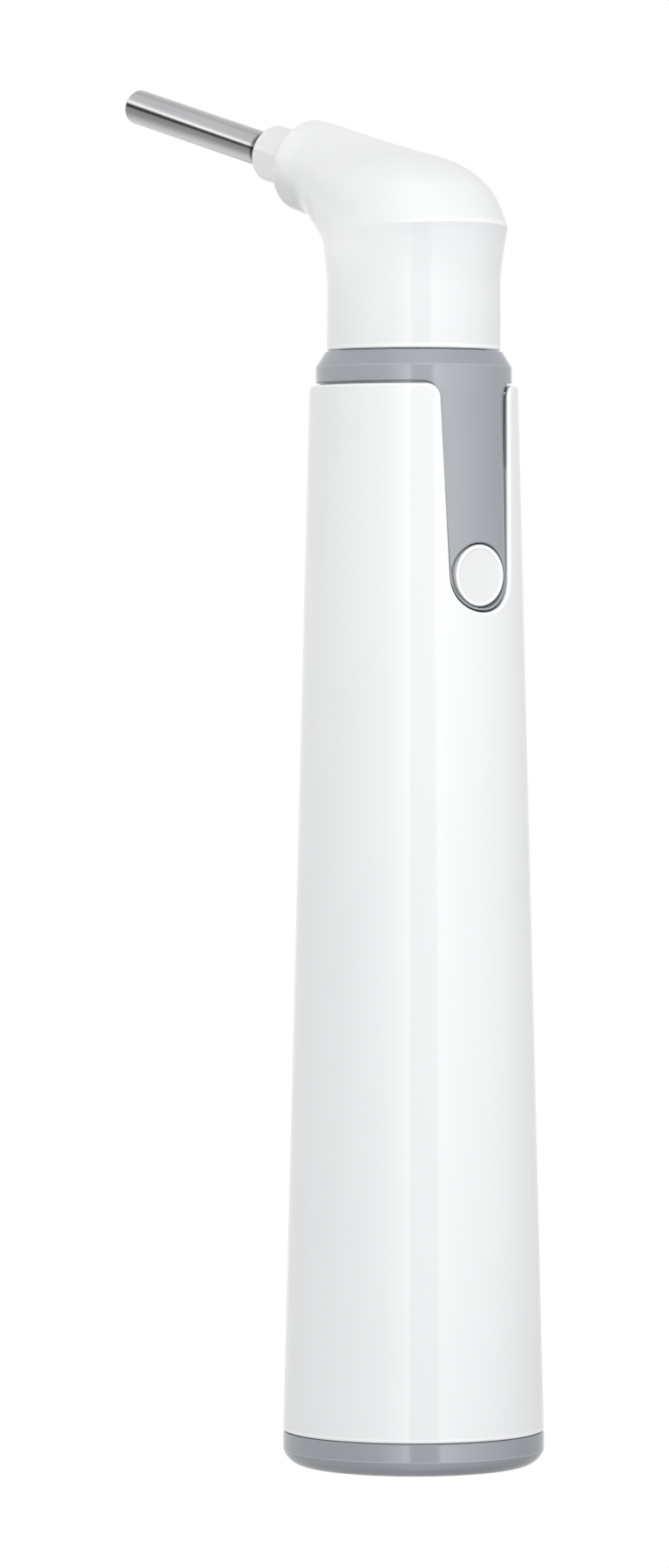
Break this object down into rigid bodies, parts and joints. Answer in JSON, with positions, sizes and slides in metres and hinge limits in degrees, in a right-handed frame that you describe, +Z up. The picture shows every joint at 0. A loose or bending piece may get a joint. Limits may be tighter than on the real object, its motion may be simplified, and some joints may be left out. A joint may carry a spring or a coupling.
{
  "type": "dental curing light",
  "caption": "Cordless pen-type curing light: conical handle on a foot cap, push button, turning angled head and a slim steel-jacketed light guide that pulls out.",
  "frame": {"origin": "centre of the flat face under the foot cap, on the handle axis", "axes": "+Z up the handle axis to the head, -X the way the nose and light guide point, +X the side of the push button; the object is symmetric about the XZ plane"},
  "size_m": [0.0715, 0.032, 0.1715],
  "materials": {
    "shell_white": "glossy moulded ABS",
    "button_white": "glossy moulded ABS, slightly domed",
    "ferrule_white": "glossy moulded plastic",
    "collar_grey": "satin moulded ABS",
    "cap_grey": "satin moulded ABS",
    "frame_black": "moulded plastic",
    "insulator": "natural moulded plastic",
    "component_black": "moulded component body",
    "plunger": "moulded plastic",
    "ferrite": "pressed ferrite",
    "board": "solder-masked laminate",
    "led_board": "white solder mask on aluminium",
    "led_ceramic": "ceramic with phosphor-free die",
    "lens_clear": "polished optical plastic",
    "guide_glass": "fused fibre rod, polished ends",
    "guide_steel": "polished drawn tube",
    "steel_small": "spring steel",
    "spring_steel": "nickel-plated spring wire",
    "nickel_strip": "nickel strip",
    "gold_contact": "gold-plated",
    "socket_brass": "nickel-plated brass",
    "sink_aluminium": "turned",
    "cell_wrap": "printed-free heat-shrink sleeve",
    "seal_rubber": "nitrile",
    "lead_sleeve": "silicone insulation"
  },
  "bodies": {
    "handle": {"body_shell": "shell_white", "collar_panel": "collar_grey", "chassis_frame": "frame_black", "control_board": "board", "board_screws": "steel_small", "tact_switch": "component_black", "driver_chip": "component_black", "drive_inductor": "ferrite", "buzzer": "component_black", "slip_pin_block": "insulator", "slip_springs": "gold_contact", "head_snap_ring": "steel_small", "battery_cell": "cell_wrap", "battery_sleeve": "insulator", "cell_top_contact": "nickel_strip", "return_strip": "nickel_strip"},
    "button": {"power_button": "button_white", "switch_plunger": "plunger"},
    "head": {"head_shell": "shell_white", "head_core": "insulator", "head_o_ring": "seal_rubber", "head_contact_board": "board", "slip_tracks": "gold_contact", "head_leads": "lead_sleeve", "heat_sink": "sink_aluminium", "led_board": "led_board", "led_emitter": "led_ceramic", "led_dome": "lens_clear", "lens_holder": "component_black", "collimator_lens": "lens_clear", "guide_socket": "socket_brass", "guide_o_ring": "seal_rubber"},
    "guide_ring": {"guide_snap_ring": "steel_small"},
    "light_guide": {"guide_ferrule": "ferrule_white", "guide_jacket": "guide_steel", "guide_core": "guide_glass"},
    "cap_seal": {"cap_o_ring": "seal_rubber"},
    "foot_cap": {"base_cap": "cap_grey", "charge_board": "board", "charge_contacts": "gold_contact", "cell_spring": "spring_steel"}
  },
  "joints": [
    {"name": "button_press", "type": "slide", "parent": "handle", "child": "button", "axis": [-1, 0, 0], "range_m": [0, 0.0005], "stiffness_N_per_m": 2500},
    {"name": "head_swivel", "type": "hinge", "parent": "handle", "child": "head", "pos_m": [0, 0, 0.1363], "axis": [0, 0, 1], "continuous": true},
    {"name": "guide_turn", "type": "hinge", "parent": "head", "child": "guide_ring", "pos_m": [-0.01396, 0, 0.15844], "axis": [-0.9659, 0, 0.2588], "continuous": true},
    {"name": "guide_pull", "type": "slide", "parent": "guide_ring", "child": "light_guide", "axis": [-0.9659, 0, 0.2588], "range_m": [0, 0.01]},
    {"name": "cap_travel", "type": "slide", "parent": "handle", "child": "cap_seal", "axis": [0, 0, -1], "range_m": [0, 0.007]},
    {"name": "cap_turn", "type": "hinge", "parent": "cap_seal", "child": "foot_cap", "pos_m": [0, 0, 0.005], "axis": [0, 0, -1], "range_deg": [0, 1260]}
  ],
  "couplings": [
    {"joint": "cap_turn", "follows": "cap_travel", "rad_per_m": 3141}
  ]
}
